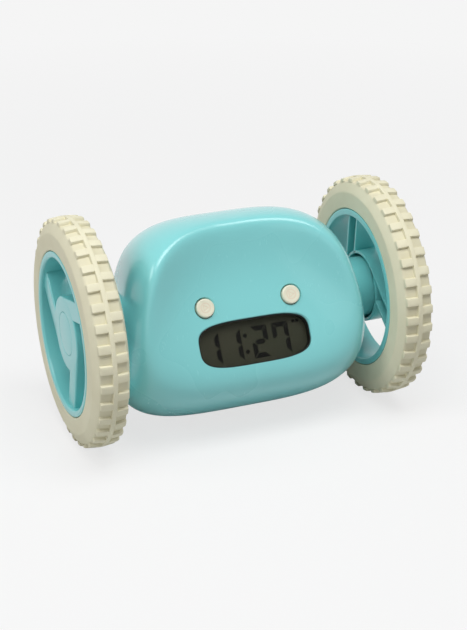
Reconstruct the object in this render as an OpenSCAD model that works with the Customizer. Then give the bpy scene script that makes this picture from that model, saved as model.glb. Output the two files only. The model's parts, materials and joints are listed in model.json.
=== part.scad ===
// Two-wheeled alarm clock that drives itself off the bedside table: a rounded two-part housing
// hung between two big wheels, each turned by its own motor through a train of small gears.
// X runs along the axles, the display faces -Y, Z is up, and the wheels stand on z = 0.

/* [Wheels] */
// Diameter over the tread lugs
tyre_d = 89; // [84:1:96]
// Width of a wheel, the same for rim and tyre
wheel_w = 14.4; // [13:0.2:16]
// Distance between the middle planes of the two wheels
track_w = 122.6; // [121:0.2:128]
// Diameter of the seat that the tyre is stretched over
seat_d = 64; // [60:1:67]
// Height of the rib on the seat that locks into the tyre
seat_rib = 1; // [0.5:0.1:1.5]
// Thickness of the rim under the tyre
rim_wall = 2.7; // [2:0.1:3.5]
// Outside diameter of the hub barrel
hub_d = 29; // [28:0.5:31]
// Wall of the hub barrel and of the arms
arm_wall = 1.2; // [0.9:0.1:1.6]
// Width of one arm, a channel open towards the housing
arm_w = 8; // [6:0.5:9]
// Number of arms
arm_count = 3; // [3:1:4]
// How far the hub disc lies inside the rim's outer edge
hub_sink = 1.7; // [1:0.1:2.5]
// How far the barrel stops short of the rim's inner edge
barrel_short = 2.9; // [2.4:0.1:3.5]
// Diameter of the cap in the middle of the hub
cap_d = 16.8; // [14:0.2:20]
// Turn of the left wheel at rest
left_turn = 45; // [0:5:115]
// Turn of the right wheel at rest
right_turn = 95; // [0:1:119]

/* [Tread] */
// Lugs in each of the two rows
lug_count = 36; // [28:4:40]
// Height of a lug over the carcass
lug_h = 1.3; // [0.8:0.1:1.8]
// Share of the pitch that a lug fills
lug_share = 0.42; // [0.3:0.02:0.5]
// Width of the ridge that runs round between the rows
ridge_w = 2; // [1.4:0.1:2.6]
// Length of a lug along the axle
lug_w = 4.4; // [3.6:0.1:4.8]
// Drop of the shoulder below the carcass
shoulder_drop = 1.5; // [1:0.1:2]

/* [Housing] */
// Width of the housing between the wheels
body_w = 93.4; // [91:0.2:95]
// Reach of the rounded front, before the face is cut
front_depth = 44; // [42:0.5:46]
// Reach of the back behind the parting line
back_depth = 33; // [32:0.5:34.5]
// Height above the widest line
top_h = 29.2; // [28.4:0.2:30]
// Height below the widest line
bottom_h = 48; // [47:0.5:49]
// Lean of the face from upright
face_tilt = 30.2; // [28:0.2:32]
// Distance of the face from the axle line
face_n = 21.7; // [21.2:0.1:22.5]
// Depth of the dish round the top of the face
face_dish = 3; // [0:0.5:4]
// Thickness of the moulded walls
wall = 2; // [1.6:0.1:2.4]
// Squareness of the ends
end_exp = 3.8; // [3.6:0.1:4.2]
// Squareness of the side view
side_exp = 2.2; // [2.1:0.05:2.4]
// Share by which the ends widen towards the bottom
end_flare = 0.21; // [0.16:0.01:0.22]

/* [Display] */
// Width of the display window
window_w = 44.8; // [40:0.2:45]
// Height of the display window
window_h = 17.6; // [15:0.2:18]
// Height of the window's middle on the face, from the axle line
window_v = -15.8; // [-16.2:0.1:-15.4]
// Thickness of the lens
lens_t = 2.3; // [1.6:0.1:2.6]
// Thickness of the glass cell
cell_glass_t = 2; // [1.4:0.1:2.2]
// Height of the figures
digit_h = 11.8; // [10:0.2:12]
// Width of a figure
digit_w = 5.8; // [5:0.1:6]
// Stroke of a figure
digit_stroke = 1.3; // [1:0.1:1.5]
// Thickness of the circuit boards
board_t = 1.2; // [0.8:0.1:1.6]

/* [Buttons] */
// Diameter of the two eye buttons
eye_d = 7.2; // [6:0.2:8]
// Distance of an eye button from the middle
eye_x = 17.6; // [16:0.2:18.2]
// Height of the eye buttons on the face, from the axle line
eye_v = -0.75; // [-1:0.05:0]
// How far an eye button stands out of the face
eye_out = 1.2; // [0.8:0.1:1.6]
// Diameter of the four setting buttons on the back
set_d = 5.2; // [4.4:0.2:5.6]
// Distance between neighbouring setting buttons
set_pitch = 12; // [11:0.5:13]
// Travel of every button
press = 0.6; // [0.3:0.1:0.7]

/* [Drive] */
// Size of the gear teeth
gear_module = 0.5; // [0.49:0.005:0.505]
// Teeth on the gear of each axle and on the first idler
wheel_teeth = 36; // [34:1:37]
// Teeth on the second idler
idler_teeth = 34; // [32:1:35]
// Teeth on every pinion
pinion_teeth = 10; // [10:1:11]
// Width of a gear face
gear_face = 3; // [2.6:0.1:3.2]
// Diameter of the steel axles
axle_d = 3; // [2.4:0.1:3.4]
// Diameter of the fixed pins under the idlers
pin_d = 2; // [1.5:0.1:2.2]
// Diameter of a motor can
motor_d = 20; // [18:0.5:20.5]
// Thickness of a motor can across its flats
motor_flat = 15; // [13:0.5:15.5]
// Length of a motor can
motor_l = 24; // [20:0.5:24]

/* [Battery] */
// Diameter of a cell
cell_d = 10.5; // [10:0.1:10.6]
// Length of a cell
cell_l = 44.5; // [43:0.5:44.5]
// Number of cells
cell_count = 4; // [3:1:4]

/* [Fits] */
// Radial clearance of a turning shaft
run_gap = 0.05; // [0.03:0.01:0.08]
// Clearance round a button or a seated part
seat_gap = 0.1; // [0.1:0.05:0.2]
// Clearance round the cover and round the axle sleeve
case_gap = 0.3; // [0.2:0.05:0.4]
// Play between meshing teeth
backlash = 0.12; // [0.1:0.02:0.16]

/* [Hidden] */
$fn = 64;
tiny = 0.01;
through = 60;

aqua = [0.45, 0.78, 0.78];
cream = [0.83, 0.81, 0.72];
ivory = [0.9, 0.88, 0.8];
smoke = [0.3, 0.3, 0.27];
steel = [0.7, 0.71, 0.73];
brass = [0.78, 0.66, 0.35];
green = [0.2, 0.42, 0.26];

// Wheel stations along X and radii
axle_z = tyre_d / 2;
wheel_in = track_w / 2 - wheel_w / 2;
wheel_out = track_w / 2 + wheel_w / 2;
seat_r = seat_d / 2;
rim_in_r = seat_r - rim_wall;
hub_r = hub_d / 2;
barrel_r = hub_r - arm_wall;
barrel_in = wheel_in + barrel_short;
disc_out = wheel_out - hub_sink;
web_t = 1.4;
cap_t = 1.1;
cap_x = disc_out - cap_t;
screw_head_t = 1.1;
screw_head_r = 2.4;
axle_end = cap_x - screw_head_t - web_t;
sleeve_r = barrel_r - 1.3;
sleeve_wall = 1.6;
sleeve_end = barrel_in + 1.2;
post_in = sleeve_end + 0.6;
axle_r = axle_d / 2;
carcass_r = tyre_d / 2 - lug_h;
shoulder_r = carcass_r - shoulder_drop;
shoulder_w = 1.3;

// The housing's cross-section: n is the distance along the face's normal, v the height up it
seam_n = -5.7;
mid_v = 8.9;
flare_span = 40;
front_flare = 0.08;
edge_soft = 12;
edge_crisp = 20;
dish_half_w = 41;
dish_half_h = 30;
ring_count = 28;
arc_count = 22;
pole = 87;
back_n = seam_n - back_depth;

// Planes behind the face
face_in = face_n - wall;
lens_flange_t = 1.1;
lens_back = face_in - lens_flange_t;
glass_front = lens_back - 2 * seat_gap;
glass_back = glass_front - cell_glass_t;
digit_t = 0.12;
strip_t = 2.8;
board_front = glass_back - strip_t;
board_back = board_front - board_t;
flange_w = window_w + 2.4;
flange_h = window_h + 2.6;
glass_w = window_w + 1.2;
glass_h = window_h + 1.9;
board_w = window_w + 3.2;
board_top = 5;
board_bottom = -26.6;
frame_h = window_v + glass_h / 2 + 1.3 - board_bottom;

// Gear train: where the idlers and the motor stand, seen along the axle as [y, z]
axle_at = [0, 0];
reach_two = gear_module * (wheel_teeth + pinion_teeth) / 2;
reach_one = gear_module * (idler_teeth + pinion_teeth) / 2;
angle_two = -28.6;
angle_one = 220;
angle_motor = 170;
two_at = axle_at + reach_two * [cos(angle_two), sin(angle_two)];
one_at = two_at + reach_one * [cos(angle_one), sin(angle_one)];
motor_at = one_at + reach_two * [cos(angle_motor), sin(angle_motor)];
plate_t = 1.5;
side_clear = 0.5;
contact_room = 2.25;
plate_x = max(cell_l / 2 + contact_room, motor_l + side_clear, board_w / 2 + side_clear);
box_in = plate_x + plate_t;
layer_gap = 0.4;
layer_one = box_in + 0.6;
layer_two = layer_one + gear_face + layer_gap;
layer_three = layer_two + gear_face + layer_gap;
box_out = layer_three + gear_face + layer_gap;
end_play = 0.2;
pin_r = pin_d / 2;
pillar_r = 2.1;
pillars = [[-11.8, 3.2], [14.2, 6.4], [13.2, -18]];
plate_ear = 3.4;
plate_corner = [-12, -17];
box_screw_r = 0.9;
box_head_r = 1.8;
box_head_t = 0.8;
box_screw_l = 6;

// Battery bay: the cells lie on an arc about the axle line
bay_turn = -67;
cell_r = cell_d / 2;
cell_step = 22;
cell_arc = (cell_d + 0.18) / 2 / sin(cell_step / 2);
bay_wall = 0.9;
bay_gap = 0.35;
bay_end = plate_x - 0.1 - bay_wall;
bay_half = (cell_count - 1) / 2 * cell_step + 6;
cover_front = -25;
cover_back = 21.5;
cover_half = bay_end + bay_wall + 0.4;
cover_screw_t = -21.5;
cover_screw_r = 0.8;
cover_head_r = 2.2;
cover_seat = 30.2;
cover_post = 27.5;

// Parts on the back
set_v = 9;
set_board_n = back_n + wall + 7.2;
sounder_v = 21;
sounder_r = 6.5;
sounder_n = back_n + 10.8;
sounder_t = 4;
post_spots = [[20, 22], [-20, 22], [30.2, -30], [-30.2, -30]];
post_r = 3.3;
case_screw_r = 1.1;
case_head_r = 2.3;
case_head_n = seam_n - 6;

function power(a, p) = sign(a) * pow(abs(a), p);

// Distance of the skin from the middle of the cross-section in direction "turn", where "size" is
// how far the section has shrunk towards the end, "x0" its station and "off" the depth below the skin
function reach(size, x0, turn, off) =
    let (
        c = cos(turn),
        s = sin(turn),
        reach_n = (c > 0 ? front_depth : back_depth) - off,
        reach_v = (s > 0 ? top_h : bottom_h) - off,
        round_r = size * pow(pow(abs(c) / reach_n, side_exp) + pow(abs(s) / reach_v, side_exp),
            -1 / side_exp),
        flat = (face_n - off - seam_n) / max(c, tiny),
        high = (1 + s) / 2,
        out = norm([x0 / dish_half_w, (mid_v + flat * s) / dish_half_h]),
        face_r = flat + face_dish * high * pow(max(0, min(1, 2 * out - 1)), 2) / max(c, tiny),
        edge = edge_soft + (edge_crisp - edge_soft) * high
    ) c > tiny ? pow(pow(round_r, -edge) + pow(face_r, -edge), -1 / edge) : round_r;

function flare(v, n) = 1 - end_flare * v / flare_span + front_flare * n / flare_span;

// One point of the housing, as [x, v, n]
function skin(ring, turn, off) =
    let (
        end = pole * ring,
        size = pow(cos(end), 2 / end_exp),
        x0 = (body_w / 2 - off) * power(sin(end), 2 / end_exp),
        r = reach(size, x0, turn, off),
        n = seam_n + r * cos(turn),
        v = mid_v + r * sin(turn)
    ) [x0 * flare(v, n), v, n];

function inside(x, v, n, off) =
    let (
        x0 = x / flare(v, n),
        size = pow(max(0, 1 - pow(abs(x0) / (body_w / 2 - off), end_exp)), 1 / end_exp)
    ) norm([n - seam_n, v - mid_v]) < reach(max(size, tiny), x0, atan2(v - mid_v, n - seam_n), off);

// Distance n of the skin over the point [x, v], to the front (way 1) or the back (way -1)
function skin_n(p, off, way, low = 0, high = 50, left = 18) = let (mid = (low + high) / 2)
    left == 0 ? seam_n + way * low
        : inside(p[0], p[1], seam_n + way * mid, off) ? skin_n(p, off, way, mid, high, left - 1)
        : skin_n(p, off, way, low, mid, left - 1);

function skin_grid(turn0, off) = [for (i = [0:ring_count], j = [0:arc_count])
    skin(2 * i / ring_count - 1, turn0 + 180 * j / arc_count, off)];

function at(i, j, base = 0) = base + i * (arc_count + 1) + j;

function reversed(list) = [for (k = [len(list) - 1:-1:0]) list[k]];

function sheet_faces(base) = [for (i = [0:ring_count - 1], j = [0:arc_count - 1], k = [0, 1])
    k == 0 ? [at(i, j, base), at(i + 1, j + 1, base), at(i + 1, j, base)]
        : [at(i, j, base), at(i, j + 1, base), at(i + 1, j + 1, base)]];

function end_row(i, base) = [for (j = [0:arc_count]) at(i, j, base)];

// Half of the housing as a hollow shell: two skins, their end caps and the parting face between
module half_shell(turn0, outer, inner) {
    size = (ring_count + 1) * (arc_count + 1);
    caps = [reversed(end_row(0, 0)), end_row(ring_count, 0), end_row(0, size),
        reversed(end_row(ring_count, size))];
    low = [for (i = [0:ring_count - 1]) [at(i, 0), at(i + 1, 0), at(i + 1, 0, size), at(i, 0, size)]];
    high = [for (i = [0:ring_count - 1]) [at(i + 1, arc_count), at(i, arc_count),
        at(i, arc_count, size), at(i + 1, arc_count, size)]];
    ends = [[at(0, arc_count), at(0, 0), at(0, 0, size), at(0, arc_count, size)],
        [at(ring_count, 0), at(ring_count, arc_count), at(ring_count, arc_count, size),
            at(ring_count, 0, size)]];
    inner_faces = [for (f = sheet_faces(size)) reversed(f)];
    polyhedron(points = concat(skin_grid(turn0, outer), skin_grid(turn0, inner)),
        faces = concat(sheet_faces(0), inner_faces, caps, low, high, ends), convexity = 6);
}

// A straight post along n from the plane "from" to the middle of the wall over it
module wall_post(spot, r, from, way) {
    sides = 12;
    ring = [for (k = [0:sides - 1]) spot + r * [cos(360 * k / sides), sin(360 * k / sides)]];
    depth = wall / 2;
    foot = [for (p = ring) [p[0], p[1], from]];
    head = [for (p = ring) [p[0], p[1], skin_n(p, depth, way)]];
    crown = [[spot[0], spot[1], skin_n(spot, depth, way)]];
    last = sides - 1;
    flanks = [for (k = [0:last]) [k, (k + 1) % sides, sides + (k + 1) % sides, sides + k]];
    roof = [for (k = [0:last]) [sides + k, sides + (k + 1) % sides, 2 * sides]];
    faces = concat([[for (k = [last:-1:0]) k]], flanks, roof);
    on_face() polyhedron(points = concat(foot, head, crown),
        faces = way > 0 ? [for (f = faces) [for (k = [len(f) - 1:-1:0]) f[k]]] : faces);
}

// Places children drawn in face coordinates: x, then v up the face, then n out of it
module on_face() {
    translate([0, 0, axle_z]) rotate([90 - face_tilt, 0, 0]) children();
}

// Extrudes a drawing in [y, z] about the axle line along X, on the right-hand side
module along_x(from, length) {
    translate([from, 0, axle_z]) rotate([90, 0, 90]) linear_extrude(length) children();
}

// Turns a profile of [x, radius] points round the axle line
module turned(points) {
    translate([0, 0, axle_z]) rotate([90, 0, 90]) rotate_extrude()
        polygon([for (p = points) [p[1], p[0]]]);
}

module rod(at_yz, r, from, length) {
    along_x(from, length) translate(at_yz) circle(r);
}

module tube(at_yz, r, bore, from, length) {
    along_x(from, length) translate(at_yz) difference() {
        circle(r);
        circle(bore);
    }
}

// A part drawn for the right-hand side, or mirrored to the left
module side(hand) {
    if (hand > 0) children();
    else mirror([1, 0, 0]) children();
}

// Outline of a barrel-shaped window
function window_outline(w, h) = let (e = 2 / 3.2) [for (a = [0:5:355])
    [w / 2 * power(cos(a), e), h / 2 * power(sin(a), e)]];

// Gear teeth: a stub involute with a steep pressure angle, which ten teeth can have
pressure = 25;
addendum = 0.8;
dedendum = 1.05;

function involute(a) = tan(a) * 180 / PI - a;

function flank(teeth, r) = let (pitch_r = gear_module * teeth / 2)
    90 / teeth - backlash / 4 / pitch_r * 180 / PI
        + involute(pressure) - involute(acos(min(1, pitch_r * cos(pressure) / r)));

function gear_outline(teeth, phase) = let (
        pitch_r = gear_module * teeth / 2,
        tip = pitch_r + addendum * gear_module,
        root = pitch_r - dedendum * gear_module,
        base = max(root + 0.04, pitch_r * cos(pressure)),
        up = [root, base, pitch_r, tip],
        sides = [for (r = up) [r, -flank(teeth, r)], for (k = [3:-1:0]) [up[k], flank(teeth, up[k])]]
    ) [for (k = [0:teeth - 1], p = sides) let (a = phase + 360 * k / teeth + p[1])
        [p[0] * cos(a), p[0] * sin(a)]];

// Phase that puts gear b in mesh with gear a, whose teeth start at phase_a, in direction "way"
function mesh_phase(way, phase_a, teeth_a, teeth_b) =
    way + 180 - (0.5 - (way - phase_a) * teeth_a / 360) * 360 / teeth_b;

phase_axle = 0;
phase_two = mesh_phase(angle_two, phase_axle, wheel_teeth, pinion_teeth);
phase_one = mesh_phase(angle_one, phase_two, idler_teeth, pinion_teeth);
phase_motor = mesh_phase(angle_motor, phase_one, wheel_teeth, pinion_teeth);

module toothed(at_yz, teeth, phase, bore, from, length) {
    along_x(from, length) translate(at_yz) difference() {
        polygon(gear_outline(teeth, phase));
        circle(bore);
    }
}

// A large gear and a pinion in one piece on a fixed pin, with spacer collars to both plates
module idler(at_yz, teeth, phase, layer) {
    bore = pin_r + run_gap;
    collar = pin_r + 0.4;
    toothed(at_yz, teeth, phase, bore, layer, gear_face);
    toothed(at_yz, pinion_teeth, phase, bore, layer + gear_face - tiny,
        gear_face + layer_gap + tiny);
    tube(at_yz, collar, bore, box_in + end_play, layer - box_in - end_play + tiny);
    pinion_end = layer + 2 * gear_face + layer_gap;
    tube(at_yz, collar, bore, pinion_end - tiny, box_out - end_play - pinion_end + tiny);
}

module gear_one(hand) {
    color(ivory) side(hand) idler(one_at, wheel_teeth, phase_one, layer_one);
}

module gear_two(hand) {
    color(ivory) side(hand) idler(two_at, idler_teeth, phase_two, layer_two);
}

module axle_gear(hand) {
    color(ivory) side(hand) toothed(axle_at, wheel_teeth, phase_axle, axle_r, layer_three, gear_face);
}

shaft_r = 1;
shaft_in = 4.8;

module rotor(hand) {
    color(brass) side(hand) {
        toothed(motor_at, pinion_teeth, phase_motor, shaft_r - tiny, layer_one - 0.4, gear_face + 0.4);
        rod(motor_at, shaft_r, plate_x - shaft_in, layer_one + gear_face - plate_x + shaft_in);
    }
}

module motor_outline() {
    intersection() {
        circle(motor_d / 2);
        rotate(-face_tilt) square([motor_flat, motor_d + 1], center = true);
    }
}

nose_r = 3;

module motor(hand) {
    color(steel) side(hand) difference() {
        union() {
            along_x(plate_x - motor_l, motor_l) translate(motor_at) motor_outline();
            rod(motor_at, nose_r, plate_x - 1, 2.2);
        }
        rod(motor_at, shaft_r + run_gap, plate_x - shaft_in - 0.3, shaft_in + 2);
    }
}

module axle(hand) {
    color(steel) side(hand) difference() {
        rod(axle_at, axle_r, plate_x, axle_end - plate_x);
        rod(axle_at, wheel_screw_r + run_gap, axle_end - 6, 6 + tiny);
    }
}

wheel_screw_r = 0.8;

module wheel_screw(hand) {
    color(steel) side(hand) {
        rod(axle_at, wheel_screw_r, axle_end - 5.5, cap_x - axle_end + 5.5 - 0.5);
        rod(axle_at, screw_head_r, cap_x - screw_head_t, screw_head_t);
    }
}

module gear_pins() {
    color(steel) for (hand = [-1, 1], spot = [one_at, two_at])
        side(hand) rod(spot, pin_r, plate_x, box_out + plate_t - plate_x);
}

bush_r = 3;
bush_l = 3;

module axle_bushes() {
    color(brass) for (hand = [-1, 1])
        side(hand) tube(axle_at, bush_r, axle_r + run_gap, sleeve_end - bush_l, bush_l);
}

module plate_body(from) {
    along_x(from, plate_t) polygon([pillars[0], pillars[1], pillars[2], plate_corner]);
    for (p = concat(pillars, [plate_corner])) rod(p, plate_ear, from, plate_t);
}

module gearbox_plate(hand) {
    color(ivory) side(hand) difference() {
        union() {
            plate_body(plate_x);
            rod(motor_at, plate_ear + 1.5, plate_x, plate_t);
        }
        rod(axle_at, axle_r + run_gap, plate_x - 1, plate_t + 2);
        for (spot = [one_at, two_at]) rod(spot, pin_r, plate_x - 1, plate_t + 2);
        rod(motor_at, nose_r + seat_gap, plate_x - 1, plate_t + 2);
        for (p = pillars) rod(p, box_screw_r + seat_gap, plate_x - 1, plate_t + 2);
    }
}

module gearbox_cover(hand) {
    color(aqua) side(hand) difference() {
        union() {
            plate_body(box_out);
            rod(axle_at, sleeve_r, box_out, sleeve_end - box_out);
            for (p = pillars) rod(p, pillar_r, box_in, box_out - box_in + tiny);
        }
        rod(axle_at, sleeve_r - sleeve_wall, box_out + plate_t,
            sleeve_end - sleeve_wall - box_out - plate_t);
        rod(axle_at, bush_r, box_out - 1, through);
        for (spot = [one_at, two_at]) rod(spot, pin_r, box_out - 1, plate_t + 2);
        for (p = pillars) rod(p, box_screw_r, box_in - 1, 8);
    }
}

module gearbox_screws() {
    color(steel) for (hand = [-1, 1], p = pillars) side(hand) {
        rod(p, box_screw_r - run_gap, plate_x - tiny, plate_t + box_screw_l);
        rod(p, box_head_r, plate_x - box_head_t, box_head_t);
    }
}

// Rim, hub barrel and disc are bodies of revolution; the arms are channels that run off the
// barrel at a tangent, like a pinwheel
module hub_profile() {
    disc_in = cap_x - arm_wall;
    post_r = axle_r + 3;
    turned([[barrel_in, barrel_r], [disc_in, barrel_r], [disc_in, post_r], [post_in, post_r],
        [post_in, axle_r], [axle_end, axle_r], [axle_end, wheel_screw_r + 0.2],
        [cap_x - screw_head_t, wheel_screw_r + 0.2], [cap_x - screw_head_t, screw_head_r + seat_gap],
        [cap_x, screw_head_r + seat_gap], [cap_x, cap_d / 2], [disc_out, cap_d / 2],
        [disc_out, hub_r], [barrel_in, hub_r]]);
}

module rim_profile() {
    mid = track_w / 2;
    rib_w = wheel_w * 0.4;
    turned([[wheel_in, rim_in_r], [wheel_out, rim_in_r], [wheel_out, seat_r], [mid + rib_w / 2, seat_r],
        [mid + rib_w / 2, seat_r + seat_rib], [mid - rib_w / 2, seat_r + seat_rib],
        [mid - rib_w / 2, seat_r], [wheel_in, seat_r]]);
}

// A band from the hub barrel's wall out into the rim, between two distances from the wheel's middle
module arm_band(low, high) {
    difference() {
        intersection() {
            circle(rim_in_r + rim_wall / 3);
            translate([0, -high]) square([seat_r, high - low]);
        }
        circle(barrel_r + arm_wall / 3);
    }
}

module arms(turn) {
    high = hub_r - arm_wall / 6;
    low = hub_r - arm_w;
    for (k = [0:arm_count - 1]) {
        way = turn + 360 * k / arm_count;
        along_x(disc_out - arm_wall, arm_wall) rotate(way) arm_band(low, high);
        along_x(barrel_in, disc_out - barrel_in) rotate(way) {
            arm_band(high - arm_wall, high);
            arm_band(low, low + arm_wall);
        }
    }
}

module rim(hand, turn) {
    color(aqua) side(hand) {
        rim_profile();
        hub_profile();
        arms(turn);
    }
}

module lug_row(from, phase) {
    lug_arc = tyre_d * PI / lug_count * lug_share;
    sunk = 0.5;
    along_x(from, lug_w) for (k = [0:lug_count - 1]) rotate((k + phase) * 360 / lug_count)
        translate([carcass_r - sunk, -lug_arc / 2]) square([lug_h + sunk, lug_arc]);
}

module tyre(hand) {
    mid = track_w / 2;
    rib_w = wheel_w * 0.4;
    bead_r = seat_r + seat_gap;
    tread = ridge_w / 2 + lug_w;
    color(cream) side(hand) {
        turned([[wheel_in, bead_r], [mid - rib_w / 2 - seat_gap, bead_r],
            [mid - rib_w / 2 - seat_gap, bead_r + seat_rib],
            [mid + rib_w / 2 + seat_gap, bead_r + seat_rib],
            [mid + rib_w / 2 + seat_gap, bead_r], [wheel_out, bead_r],
            [wheel_out, shoulder_r - shoulder_w], [wheel_out - shoulder_w, shoulder_r],
            [mid + tread, carcass_r], [mid + ridge_w / 2, carcass_r],
            [mid + ridge_w / 2, tyre_d / 2], [mid - ridge_w / 2, tyre_d / 2],
            [mid - ridge_w / 2, carcass_r], [mid - tread, carcass_r],
            [wheel_in + shoulder_w, shoulder_r], [wheel_in, shoulder_r - shoulder_w]]);
        lug_row(mid + ridge_w / 2 - tiny, 0);
        lug_row(mid - ridge_w / 2 - lug_w + tiny, 0.5);
    }
}

module hub_cap(hand) {
    color(aqua) side(hand) rod(axle_at, cap_d / 2 - 0.15, cap_x, cap_t);
}

// A prism along the face's normal, through drawings in [x, v]
module face_prism(from, to) {
    on_face() translate([0, 0, from]) linear_extrude(to - from) children();
}

module sleeve_holes() {
    for (hand = [-1, 1]) side(hand) rod(axle_at, sleeve_r + case_gap, box_out + plate_t, through);
}

board_posts = [[9, 2.6], [-9, 2.6]];
board_post_r = 1.8;
board_screw_r = 0.75;
board_head_r = 1.7;

module front_shell() {
    color(aqua) difference() {
        union() {
            on_face() half_shell(-90, 0, wall);
            for (spot = post_spots) wall_post(spot, post_r, seam_n, 1);
            for (p = board_posts) face_prism(board_front, face_in + wall / 2) translate(p)
                circle(board_post_r);
        }
        face_prism(board_front, through) translate([0, window_v])
            polygon(window_outline(window_w, window_h));
        face_prism(board_front, face_in) translate([0, window_v])
            square([flange_w, flange_h] + 2 * seat_gap * [1, 1], center = true);
        face_prism(board_back, lens_back) translate([-board_w / 2, board_bottom] - case_gap * [1, 1])
            square([board_w, frame_h] + 2 * case_gap * [1, 1]);
        for (x = [-eye_x, eye_x]) face_prism(lens_back, through) translate([x, eye_v])
            circle(eye_d / 2 + seat_gap);
        for (spot = post_spots) face_prism(seam_n - 1, seam_n + 9) translate(spot)
            circle(case_screw_r + run_gap);
        for (p = board_posts) face_prism(board_front - 1, board_front + 4) translate(p)
            circle(board_screw_r + run_gap);
        sleeve_holes();
    }
}

module display_lens() {
    color(smoke) {
        face_prism(face_in - tiny, face_in - lens_flange_t + lens_t) translate([0, window_v])
            polygon(window_outline(window_w - 2 * seat_gap, window_h - 2 * seat_gap));
        face_prism(lens_back, face_in) translate([0, window_v])
            square([flange_w, flange_h], center = true);
    }
}

module display_cell() {
    color([0.42, 0.44, 0.36]) face_prism(glass_back, glass_front) translate([0, window_v])
        square([glass_w, glass_h], center = true);
}

// Seven-segment figures: top, upper right, lower right, bottom, lower left, upper left, middle
figures = [[0, 1, 1, 0, 0, 0, 0], [0, 1, 1, 0, 0, 0, 0], [1, 1, 0, 1, 1, 0, 1], [1, 1, 1, 0, 0, 1, 0]];
figure_right = [-13.2, -4.3, 6.6, 15.4];
colon_x = -2.6;

module bar(length) {
    w = digit_stroke / 2;
    polygon([[-length / 2, 0], [w - length / 2, w], [length / 2 - w, w], [length / 2, 0],
        [length / 2 - w, -w], [w - length / 2, -w]]);
}

module figure(on) {
    half = (digit_h - digit_stroke) / 2;
    reach = (digit_w - digit_stroke) / 2;
    gap = 0.5;
    if (on[0] == 1) translate([0, half]) bar(2 * reach - gap);
    if (on[1] == 1) translate([reach, half / 2]) rotate(90) bar(half - gap);
    if (on[2] == 1) translate([reach, -half / 2]) rotate(90) bar(half - gap);
    if (on[3] == 1) translate([0, -half]) bar(2 * reach - gap);
    if (on[4] == 1) translate([-reach, -half / 2]) rotate(90) bar(half - gap);
    if (on[5] == 1) translate([-reach, half / 2]) rotate(90) bar(half - gap);
    if (on[6] == 1) bar(2 * reach - gap);
}

module display_digits() {
    figure_v = window_v - 0.6;
    color("black") face_prism(glass_front, glass_front + digit_t) {
        for (k = [0:3]) translate([figure_right[k] - digit_w / 2, figure_v]) figure(figures[k]);
        for (v = [-digit_h / 4, digit_h / 4]) translate([colon_x, figure_v + v]) circle(digit_stroke / 2);
    }
}

// Holder of the glass cell, scalloped round the flanges of the two eye buttons
module display_frame() {
    ledge = 1.6;
    color(ivory) difference() {
        face_prism(board_front, lens_back - seat_gap) translate([-board_w / 2, board_bottom])
            square([board_w, frame_h]);
        face_prism(glass_back - seat_gap, face_n) translate([0, window_v])
            square([glass_w + 2 * seat_gap, glass_h + 2 * seat_gap], center = true);
        face_prism(board_front - 1, face_n) translate([0, window_v])
            square([glass_w - 2 * ledge, glass_h - 2 * ledge], center = true);
        for (x = [-eye_x, eye_x]) face_prism(board_front - 1, face_n) translate([x, eye_v])
            circle(eye_d / 2 + flange_w_out + case_gap);
    }
}

module contact_strip() {
    color([0.85, 0.45, 0.4]) face_prism(board_front, glass_back)
        translate([-glass_w / 2 + 2.4, window_v - glass_h / 2 + 2]) square([glass_w - 4.8, 2]);
}

// The board is notched beside the gearbox screw that stands nearest to it
module main_board() {
    notch_v = pillars[0][0] * sin(face_tilt) + pillars[0][1] * cos(face_tilt);
    notch = 2 * (box_head_r + case_gap);
    color(green) face_prism(board_back, board_front) difference() {
        translate([-board_w / 2, board_bottom]) square([board_w, board_top - board_bottom]);
        for (p = board_posts) translate(p) circle(board_screw_r + seat_gap);
        for (hand = [-1, 1]) translate([hand * board_w / 2, notch_v])
            square([notch / 2, notch], center = true);
    }
}

chip_w = 12;
chip_t = 1.4;
crystal = [8, 3];
crystal_t = 2.4;
chip_row = [1.6, 3.2];
chip_row_t = 1.2;
chip_row_pitch = 3;

module board_parts() {
    color([0.12, 0.12, 0.12]) {
        face_prism(board_back - chip_t, board_back) translate([-chip_w / 2, -9]) square(chip_w);
        face_prism(board_back - crystal_t, board_back) translate([12, -2]) square(crystal);
        face_prism(board_back - chip_row_t, board_back) for (k = [0:3])
            translate([chip_row_pitch * k - 21, -2]) square(chip_row);
    }
}

module board_screws() {
    color(steel) for (p = board_posts) {
        face_prism(board_back - tiny, board_front + 3.5) translate(p) circle(board_screw_r);
        face_prism(board_back - 1, board_back) translate(p) circle(board_head_r);
    }
}

// A switch is a square box with a round well, in which the button's own stem is the plunger
stem_r = 1.5;
switch_side = 6;
switch_h = 3.4;
switch_floor = 0.8;
stem_gap = 0.2;
flange_t = 0.8;
flange_w_out = 0.8;

module switch_outline() {
    difference() {
        square(switch_side, center = true);
        circle(stem_r + seat_gap);
    }
}

module eye_switches() {
    color([0.15, 0.15, 0.16]) for (x = [-eye_x, eye_x]) {
        face_prism(board_front + switch_floor, board_front + switch_h) translate([x, eye_v])
            switch_outline();
        face_prism(board_front, board_front + switch_floor + tiny) translate([x, eye_v])
            square(switch_side, center = true);
    }
}

module eye_button(hand) {
    flange_out = face_in - seat_gap;
    stem_end = board_front + switch_floor + press + stem_gap;
    color(ivory) side(hand) {
        face_prism(flange_out - tiny, face_n + eye_out) translate([eye_x, eye_v]) circle(eye_d / 2);
        face_prism(flange_out - flange_t, flange_out) translate([eye_x, eye_v])
            circle(eye_d / 2 + flange_w_out);
        face_prism(stem_end, flange_out - flange_t + tiny) translate([eye_x, eye_v]) circle(stem_r);
    }
}

set_spots = [for (k = [-1.5, -0.5, 0.5, 1.5]) k * set_pitch];
set_board_h = 8;

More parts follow.
